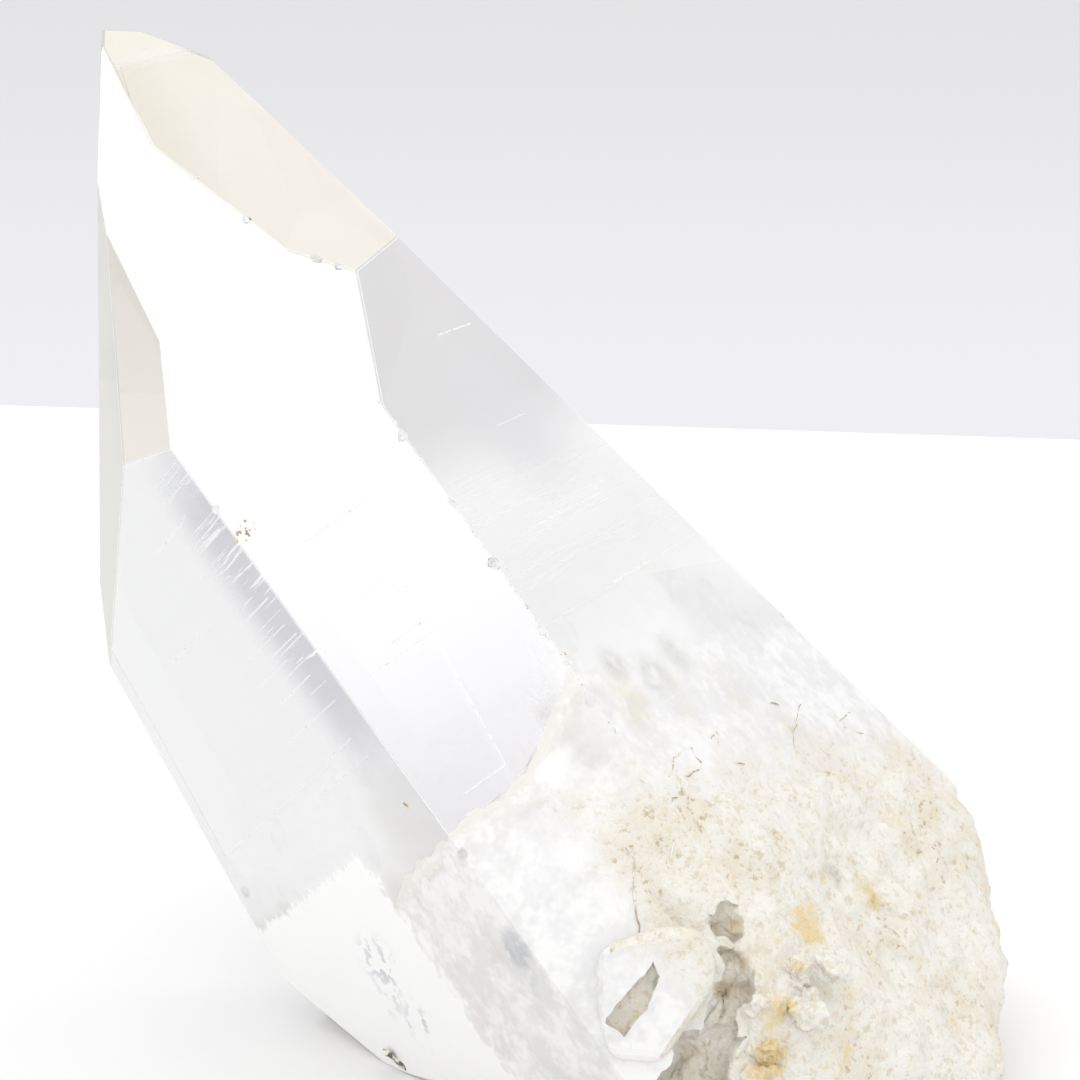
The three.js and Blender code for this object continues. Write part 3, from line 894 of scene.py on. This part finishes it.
def haze_share(finish, place, tip):
    """The share of the haze that thickens downwards on the two broad faces beside the front."""
    below = face_share(finish, place, "lower_left") * finish.rise(tip, -3.0, -13.0) * 0.55
    return below.at_least(face_share(finish, place, "upper_right") * finish.rise(tip, -4.0, -17.0) * 0.7)


def upper_shader(finish, look, place, front, left, tip):
    """The clear upper crystal: glossy faces with growth lines, painted shade and reflections on its faces,
    and patches of painted shade.
    """
    tint_and_painted_shade = painted_face_shades(finish, place, tip, look, PAINTED_FACE_SHADES)
    band = painted_shade_band(finish, place, tip)
    tint_and_painted_shade = finish.blend(band, tint_and_painted_shade, opaque(look.painted_shade_colour))
    on_tip = face_share(finish, place, "tip_right")
    beside = on_tip * finish.rise(outside_face(finish, place, "tip_front_top"), -3.0, -0.2)
    tint_and_painted_shade = finish.blend(beside * 0.6, tint_and_painted_shade, opaque(PAINTED_TIP_EDGE_SHADE))
    on_right = face_share(finish, place, "upper_right")
    # a patch of painted shade on the upper right face
    painted_shade_spot = spot(finish, place, (6.0, -18.0, 9.0), 12.0, 0.1) * on_right
    tint_and_painted_shade = finish.blend(painted_shade_spot * 0.8, tint_and_painted_shade, opaque(look.painted_shade_colour))
    lined = striations(finish, front, left, tip)
    bright = finish.rise(lined, 0.55, 0.62) * (band * 0.9 + on_right * finish.rise(tip, 8.0, 0.0) * 0.15)
    strip = face_share(finish, place, "tip_left_edge")
    apex = on_tip * finish.rise(tip, 60.0, 63.5)
    bright = bright.at_least(strip * 0.65).at_least(haze_share(finish, place, tip)).at_least(apex)
    pale = finish.blend(apex, finish.blend(strip, opaque(look.frost), opaque(look.dusty)), opaque(look.apex))
    white = milky_shader(finish, pale, 0.0)
    return finish.mix(bright, clear_shader(finish, look, tint_and_painted_shade), white)


def worn_shader(finish, look, place, tip):
    """Worn edges, chips and growth lines: bright, frosted quartz with clear gaps."""
    frost = finish.rise(finish.grain(place, 900.0, 1.0, 0.6), 0.22, 0.42)
    at_tip = finish.rise(tip, ROUNDED_ABOVE - 3.0, ROUNDED_ABOVE + 1.0)
    colour = finish.blend(at_tip, opaque(look.frost), opaque(look.apex))
    rough = milky_shader(finish, colour, 0.0, None, 0.25 + 0.45 * at_tip)
    share = (frost * 0.9).at_least(at_tip)
    clear = clear_shader(finish, look, opaque(look.tint))
    return finish.mix(share, clear, rough)


def any_spot(finish, place, spots, softness):
    """The strongest of several round soft spots, each front, left, tip, radius and strength."""
    share = None
    for *centre, radius, strength in spots:
        one = spot(finish, place, centre, radius, softness) * strength
        share = one if share is None else share.at_least(one)
    return share


def crust_shader(finish, place, root):
    """The root's granular crust, with its iron stains, pits, and painted shade between the grains and in its
    hollows, which also hold dirt.
    """
    # the grain is drawn out a little towards the back, because the slopes of the root are seen at a slant
    deep = finish.node("ShaderNodeVectorMath", {"operation": "MULTIPLY"}, {0: place, 1: (1.0, 0.62, 1.0)})
    coarse = finish.grain(deep, 330.0, 3.0, 0.6)
    fine = finish.grain(deep, 1350.0, 3.0, 0.7)
    broad = finish.grain(place, 90.0, 2.0, 0.5)
    uneven = (coarse - 0.5) * 1.6 + (fine - 0.5) * 2.4
    warm = finish.rise(broad + (coarse - 0.5), 0.38, 0.68)
    colour = finish.blend(warm, opaque(root.milk), opaque(root.buff))
    # painted shade in the low places between the grains
    colour = finish.blend(finish.rise(fine, 0.48, 0.36) * 0.7, colour, opaque(root.shade))
    stained = finish.rise(any_spot(finish, place, STAINS, 0.0) + uneven, 0.18, 0.90)
    colour = finish.blend(stained, colour, opaque(root.stain))
    # painted shade in the hollows, with dirt in their pits
    shaded = any_spot(finish, place, SHADED, 0.3)
    colour = finish.blend(shaded * finish.rise(fine, 0.30, 0.50) * 0.6, colour, opaque(root.shade))
    pitted = finish.rise(fine, 0.42, 0.34) * finish.rise(broad * 0.75 + coarse * 0.25, 0.46, 0.58)
    pitted = pitted.at_least(shaded * finish.rise(coarse, 0.50, 0.62))
    pitted = pitted.at_least(stained * finish.rise(fine, 0.47, 0.38))
    colour = finish.blend(pitted * 0.8, colour, opaque(root.dirt))
    relief = {"Strength": 1.0, "Distance": 0.0005, "Height": coarse * 0.8 + fine * 0.6}
    return milky_shader(finish, colour, 0.0, finish.node("ShaderNodeBump", {}, relief, "Normal"), 0.12)


def curved_fracture(finish, front, left, tip, cloudy, mottled, clouds):
    """The shares of the cloudy ground below the curved fracture on the front, of the fracture's own pale edge
    and of the painted highlight along the edge."""
    beyond = -1.0 - left
    bend = (left - 9.0).at_least(0.0)
    curve = (beyond + (beyond * beyond + 2.0).root()) * 0.33 - bend * bend * 0.06 - 18.9
    depth = curve - tip + (mottled - 0.5) * 0.8 + (cloudy - 0.5) * 3.0
    on_front = finish.rise(left, -10.5, -9.0)
    on_front = on_front * finish.rise(front, -3.0, 4.0)
    ground = finish.rise(depth, -0.1, 0.5) * (0.8 + 0.2 * clouds) * on_front
    edge = finish.rise(depth, -0.1, 0.2) * finish.rise(depth + clouds * 1.2, 4.0, 1.2) * on_front
    edge = edge * finish.rise(left, 17.0, 14.0)
    edge_highlight = finish.rise(abs(depth - 0.5 - clouds * 1.4), 0.55, 0.05) * finish.rise(mottled, 0.38, 0.54) * 0.9
    return ground, edge, edge_highlight


def painted_crack_glints(finish, place, mottled):
    """The shares of the angular patches of painted reflection from inner cracks, in grey and in white."""
    shift = finish.node("ShaderNodeVectorMath", {"operation": "MULTIPLY_ADD"}, {
        0: finish.node("ShaderNodeTexNoise", {}, {"Vector": place, "Scale": 260.0, "Detail": 1.0}, "Color"),
        1: (0.004, 0.004, 0.004), 2: place,
    })
    cells = finish.node("ShaderNodeTexVoronoi", {}, {"Vector": shift, "Scale": 210.0}, "Color")
    chance = finish.node("ShaderNodeSeparateColor", {}, {"Color": cells})
    grey = finish.rise(chance, 0.70, 0.95) * finish.rise(mottled, 0.35, 0.60) * 0.4
    grey = grey.at_least(any_spot(finish, place, PAINTED_CRACK_GLINTS, 0.5) * finish.rise(mottled, 0.40, 0.50) * 1.5)
    white = finish.rise(chance, 0.34, 0.20)
    return grey, white


def lower_shader(finish, look, root, place, front, left, tip):
    """The lower crystal, where clear quartz turns cloudy, and then milky as the root's crust."""
    cloudy = finish.grain(place, 150.0, 3.0, 0.62)
    mottled = finish.grain(place, 520.0, 2.0, 0.7)
    clouds = finish.rise(cloudy * 0.5 + mottled * 0.5, 0.40, 0.60)

    # the root's crust, and the clouds that thin out above it on the right
    in_root = finish.rise(above_root(left, tip) + (cloudy - 0.5) * 18.0, 7.0, -3.0)
    skin = in_root * finish.rise(left + (cloudy - 0.5) * 6.0, 0.5, -3.5)
    skin = skin.at_least(marked(finish, "crust"))
    below = finish.along(place, CLOUD_TOP, CLOUD_START.dot(CLOUD_TOP) / MM) + (cloudy - 0.5) * 12.0
    thin = finish.rise(below, -2.5, -9.0) * finish.rise(left, -6.0, -9.0)
    thin = thin * (0.8 + 0.16 * clouds)
    haze = haze_share(finish, place, tip)

    ground, edge, edge_highlight = curved_fracture(finish, front, left, tip, cloudy, mottled, clouds)

    # the frosted patch at the lower left, and the cream patch beside the front right edge
    ragged = (mottled - 0.5) * 2.6
    frosted = finish.rise(tip + ragged, -14.6, -16.2) * finish.rise(left + ragged, 14.3, 15.7)
    flecks = finish.rise(mottled, 0.50, 0.56) * any_spot(finish, place, FLECKS, 0.2)
    cream = any_spot(finish, place, CREAM_CLOUDS, 0.2) * finish.rise(cloudy, 0.38, 0.54)
    dull = any_spot(finish, place, GREY_CLOUDS, 0.2) * finish.rise(cloudy * 0.6 + mottled * 0.4, 0.40, 0.54)

    # painted reflections of inner cracks, grey and white
    grey, white = painted_crack_glints(finish, place, mottled)
    pale = finish.blend(clouds, opaque(root.ground), opaque(look.frost))
    pale = finish.blend(cream, pale, opaque(look.cream))
    pale = finish.blend(spot(finish, place, PINK[:3], PINK[3]) * 0.8, pale, opaque(root.pink))
    pale = finish.blend(dull * 0.8, pale, opaque(root.dull))
    pale = finish.blend(white * 0.4, pale, opaque(look.frost))
    pale = finish.blend((grey * 0.6).at_most(0.85), pale, opaque(root.mirror))
    # the fracture's pale edge, with its painted highlight in white
    pale = finish.blend(edge * 0.85, pale, finish.blend(edge_highlight, opaque(root.ridge), opaque(look.frost)))
    pale = finish.blend(frosted, pale, opaque(look.frost))
    pale = finish.blend(frosted * flecks, pale, opaque(root.mirror))
    milky = ground.at_least(frosted).at_least(cream).at_least(dull)
    milky = milky.at_least(edge).at_least(thin).at_least(haze)

    # painted shade and reflections on the lower faces, with the band of painted shade on the lower left face
    tint_and_painted_shade = painted_face_shades(finish, place, tip, look, ["lower_left", "front", "front_band", "upper_right"])
    tint_and_painted_shade = finish.blend(painted_shade_band(finish, place, tip), tint_and_painted_shade, opaque(look.painted_shade_colour))
    cloud = milky_shader(finish, pale, 0.7 - 0.7 * frosted, None, 0.22 - 0.1 * frosted)
    quartz = finish.mix(milky.at_most(1.0), clear_shader(finish, look, tint_and_painted_shade), cloud)
    return finish.mix(skin, quartz, crust_shader(finish, place, root))


def quartz_finish(look, root):
    """Quartz: clear above and cloudy below, with frosted wear. Thick quartz takes on a faint colour."""
    finish = Finish("quartz")
    place, front, left, tip = crystal_places(finish)
    upper = upper_shader(finish, look, place, front, left, tip)
    lower = lower_shader(finish, look, root, place, front, left, tip)
    body = finish.mix(marked(finish, "low"), upper, lower)
    worn = worn_shader(finish, look, place, tip)
    surface = finish.mix(marked(finish, "worn"), body, worn)
    depth = {"Color": opaque(look.depth_colour), "Density": look.density}
    return finish.done(surface, finish.node("ShaderNodeVolumeAbsorption", {}, depth))


def veil_finish(name, colour, share):
    """A thin cloudy sheet: patches of milky quartz with clear gaps."""
    finish = Finish(name)
    place = finish.node("ShaderNodeTexCoord", output="Object")
    cover = finish.rise(finish.grain(place, 190.0, 3.0, 0.7), 0.40, 0.66) * share
    gap = finish.node("ShaderNodeBsdfTransparent", {}, {"Color": (1.0, 1.0, 1.0, 1.0)})
    cloud = milky_shader(finish, opaque(colour), 0.0)
    return finish.done(finish.mix(cover, gap, cloud))


def along_line(points, share):
    """The point a share of the way along a line of evenly counted points."""
    step = share * (len(points) - 1)
    i = min(int(step), len(points) - 2)
    return Vector(points[i]).lerp(Vector(points[i + 1]), step - i)


def kept_inside(place, cover=0.0):
    """The place, moved in where it lies outside a crystal face or less than `cover` millimetres under one."""
    for name in FACES:
        normal, point = face_plane(name, -cover)
        place = place - normal * max(0.0, normal.dot(place - point))
    return place


def veil(name, first, last, seed):
    """A thin, gently uneven sheet between two lines of points."""
    bpy.ops.mesh.primitive_grid_add(x_subdivisions=60, y_subdivisions=36, size=2.0)
    sheet = bpy.context.object
    sheet.name = name
    for vertex in sheet.data.vertices:
        across, down = (vertex.co.x + 1) / 2, (vertex.co.y + 1) / 2
        place = along_line(first, across).lerp(along_line(last, across), down)
        wave = noise.noise_vector(place / 7.0 + Vector((seed, seed, seed)))
        ripple = noise.noise_vector(place / 1.6 + Vector((seed, 0, seed)))
        place += (wave * 1.6 + ripple * 0.35) * min(1.0, 5 * down)
        vertex.co = kept_inside(crystal_point(*place), 0.1)
    for polygon in sheet.data.polygons:
        polygon.use_smooth = True
    return sheet


def crack(width, points):
    """A thin, stained line along points on the surface."""
    curve = bpy.data.curves.new("crack", "CURVE")
    curve.dimensions = "3D"
    curve.bevel_depth = width * MM
    curve.bevel_resolution = 1
    spline = curve.splines.new("POLY")
    steps = 5 * (len(points) - 1)
    spline.points.add(steps)
    for i in range(steps + 1):
        place = along_line(points, i / steps)
        place += noise.noise_vector(place * 1.4) * 0.18
        spline.points[i].co = (*crystal_point(*place), 1.0)
        spline.points[i].radius = 0.45 + 0.9 * abs(noise.noise(place * 2.3))
    line = bpy.data.objects.new("crack", curve)
    bpy.context.scene.collection.objects.link(line)
    make_active(line)
    bpy.ops.object.convert(target="MESH")
    return bpy.context.object


def speck(place, size, chance):
    """One angular grain of dirt."""
    bpy.ops.mesh.primitive_ico_sphere_add(subdivisions=1, radius=size * MM)
    turn = Matrix.Rotation(chance.uniform(0, 6.3), 4, (chance.random(), chance.random(), 1.0))
    stretch = Matrix.Diagonal((1.0, chance.uniform(0.5, 1.0), chance.uniform(0.4, 0.8), 1.0))
    return place_shape(Matrix.Translation(place) @ turn @ stretch)


def mineral_flake():
    """The thin dark flake of another mineral at the foot of the lower left face."""
    bpy.ops.mesh.primitive_ico_sphere_add(subdivisions=3, radius=0.5 * MM)
    upright = frame_at(face_place("lower_left", *FLAKE), LEFTWARD, FRONTWARD, TIPWARD)
    turned = upright @ Matrix.Rotation(0.35, 4, "Y")
    flake = place_shape(turned @ Matrix.Diagonal((0.7, 0.7, 4.0, 1.0)))
    for vertex in flake.data.vertices:
        vertex.co += noise.noise_vector(vertex.co / MM / 0.8) * 0.35 * MM
    flake.name = "mineral_flake"
    return cut_at_ground(flake)


def join(shapes, name):
    """Joins several shapes into one piece."""
    bpy.ops.object.select_all(action="DESELECT")
    for shape in shapes:
        shape.select_set(True)
    bpy.context.view_layer.objects.active = shapes[0]
    bpy.ops.object.join()
    shapes[0].name = name
    return shapes[0]


class QUARTZ_OT_inclusions(bpy.types.Operator):
    """Builds the cloudy sheets inside the crystal, and the stained cracks and specks of dirt on it."""

    bl_idname = "quartz.inclusions"
    bl_label = "Veils, cracks and dirt"

    def execute(self, context):
        root = context.scene.quartz_root
        for i, (name, (first, last)) in enumerate(VEILS.items()):
            sheet = veil(name, first, last, i * 3.7)
            sheet.data.materials.append(veil_finish(name, *VEIL_COLOURS[name]))
            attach(sheet, "root")
        cracks = join([crack(width, points) for width, points in CRACKS], "stained_cracks")
        cracks.data.materials.clear()
        cracks.data.materials.append(stain_finish("crack_stain", root.crack, root.milk, 900.0))
        chance = random.Random(9)
        grains = []
        for centre, scatter, count in DIRT:
            for _ in range(count):
                offset = [chance.gauss(0, scatter * share) for share in (0.18, 0.3, 0.3)]
                place = kept_inside(crystal_point(*(Vector(centre) + Vector(offset))))
                grains.append(speck(place, chance.uniform(0.08, 0.26), chance))
        dirt = join(grains, "dirt_specks")
        dirt.data.materials.append(stain_finish("dirt", root.dirt, root.stain, 1500.0))
        flake = mineral_flake()
        flake.data.materials.append(stain_finish("flake", root.flake, root.milk, 1300.0))
        for piece in (cracks, dirt, flake):
            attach(piece, "root")
        return {"FINISHED"}


def stain_finish(name, dark, light, scale):
    """Matt dirt of two colours, changing from place to place."""
    finish = Finish(name)
    place = finish.node("ShaderNodeTexCoord", output="Object")
    share = finish.rise(finish.grain(place, scale, 3.0, 0.6), 0.40, 0.60)
    return finish.matt(finish.blend(share, opaque(dark), opaque(light)))


def plain_finish(name, colour, roughness):
    """An even, matt finish for the floor and the wall."""
    return Finish(name).matt(opaque(colour), roughness)


def wall_finish(stage):
    """A matt wall with painted light: a little lighter towards the table, and again above the picture."""
    finish = Finish("wall")
    place = finish.node("ShaderNodeTexCoord", output="Object")
    split = finish.node("ShaderNodeSeparateXYZ", {}, {"Vector": place}, "Z")
    colour = finish.blend(finish.rise(split, -0.16, 0.08), opaque(stage.wall_foot), opaque(stage.wall))
    colour = finish.blend(finish.rise(split, 0.11, 0.17), colour, opaque(stage.wall_foot))
    return finish.matt(colour)


CAMERA_PLACE = (0.0006, -0.2693, 0.1064)
CAMERA_TILT = 78.0        # degrees from straight down


def camera_view():
    """The camera, at the height and the angle of the photograph."""
    camera = bpy.data.cameras.new("camera")
    camera.lens = 100.0
    camera.sensor_width = 36.0
    camera.clip_end = 20.0
    view = bpy.data.objects.new("camera", camera)
    view.location = CAMERA_PLACE
    view.rotation_euler = (math.radians(CAMERA_TILT), 0.0, 0.0)
    bpy.context.scene.collection.objects.link(view)
    bpy.context.scene.camera = view


def light_panel(name, place, aim, width, height, watts, colour):
    """A soft rectangular light that shines from a place towards an aim."""
    light = bpy.data.lights.new(name, "AREA")
    light.shape = "RECTANGLE"
    light.size = width
    light.size_y = height
    light.energy = watts
    light.color = colour
    panel = bpy.data.objects.new(name, light)
    panel.location = place
    panel.rotation_euler = (Vector(aim) - Vector(place)).to_track_quat("-Z", "Y").to_euler()
    panel.visible_camera = False
    bpy.context.scene.collection.objects.link(panel)


def daylight(stage):
    """Even light from all round, brighter from above."""
    world = bpy.data.worlds.new("daylight")
    world.use_nodes = True
    nodes = world.node_tree.nodes
    links = world.node_tree.links
    place = nodes.new("ShaderNodeTexCoord")
    split = nodes.new("ShaderNodeSeparateXYZ")
    links.new(place.outputs["Generated"], split.inputs["Vector"])
    strength = nodes.new("ShaderNodeMath")
    strength.operation = "MULTIPLY_ADD"
    links.new(split.outputs["Z"], strength.inputs[0])
    strength.inputs[1].default_value = stage.daylight_lift
    strength.inputs[2].default_value = stage.daylight
    links.new(strength.outputs["Value"], nodes["Background"].inputs["Strength"])
    nodes["Background"].inputs["Color"].default_value = (1.0, 1.0, 1.0, 1.0)
    return world


FLOOR_DROP = 0.00005      # metres below the base, because faces at one height show as dark patches


class QUARTZ_OT_stage(bpy.types.Operator):
    """Sets up the pale floor and wall, the soft light and the camera."""

    bl_idname = "quartz.stage"
    bl_label = "Studio"

    def execute(self, context):
        stage = context.scene.quartz_stage
        bpy.ops.mesh.primitive_plane_add(size=1.0)
        turn = Matrix.Rotation(math.radians(-10.7), 4, "Z")
        edge = Matrix.Translation((0.0, 0.35, -FLOOR_DROP)) @ turn @ Matrix.Translation((0, -1.25, 0))
        floor = place_shape(edge @ Matrix.Diagonal((4.0, 2.5, 1.0, 1.0)))
        floor.name = "floor"
        floor.data.materials.append(plain_finish("floor", stage.floor, 0.6))
        bpy.ops.mesh.primitive_plane_add(size=1.0)
        upright = Matrix.Rotation(math.radians(90), 4, "X")
        behind = Matrix.Translation((0, 1.3, 0.6))
        wall = place_shape(behind @ upright @ Matrix.Diagonal((5.0, 3.0, 1.0, 1.0)))
        wall.name = "wall"
        wall.data.materials.append(wall_finish(stage))
        context.scene.world = daylight(stage)
        light_panel("overhead", (-0.2, 0.2, 1.1), (0, 0, 0.04), 1.0, 1.0, stage.overhead, (1.0, 1.0, 1.0))
        camera_view()
        context.scene.view_settings.view_transform = "Standard"
        cycles = context.scene.cycles
        cycles.max_bounces = 8
        cycles.diffuse_bounces = 3
        cycles.glossy_bounces = 3
        cycles.transmission_bounces = 8
        return {"FINISHED"}


class QUARTZ_PT_panel(bpy.types.Panel):
    """Lists the pieces of the quartz point."""

    bl_label = "Quartz point"
    bl_idname = "QUARTZ_PT_panel"
    bl_space_type = "VIEW_3D"
    bl_region_type = "UI"
    bl_category = "Quartz"

    def draw(self, context):
        for operator in OPERATORS:
            self.layout.operator(operator.bl_idname)


OPERATORS = (QUARTZ_OT_point, QUARTZ_OT_inclusions, QUARTZ_OT_stage)
CLASSES = (QuartzCrystal, QuartzRoot, QuartzStage, *OPERATORS, QUARTZ_PT_panel)


def register():
    for item in CLASSES:
        bpy.utils.register_class(item)
    bpy.types.Scene.quartz_crystal = bpy.props.PointerProperty(type=QuartzCrystal)
    bpy.types.Scene.quartz_root = bpy.props.PointerProperty(type=QuartzRoot)
    bpy.types.Scene.quartz_stage = bpy.props.PointerProperty(type=QuartzStage)


def unregister():
    del bpy.types.Scene.quartz_stage
    del bpy.types.Scene.quartz_root
    del bpy.types.Scene.quartz_crystal
    for item in reversed(CLASSES):
        bpy.utils.unregister_class(item)


def main():
    register()
    bpy.ops.quartz.point()
    bpy.ops.quartz.inclusions()
    bpy.ops.quartz.stage()


if __name__ == "__main__":
    main()
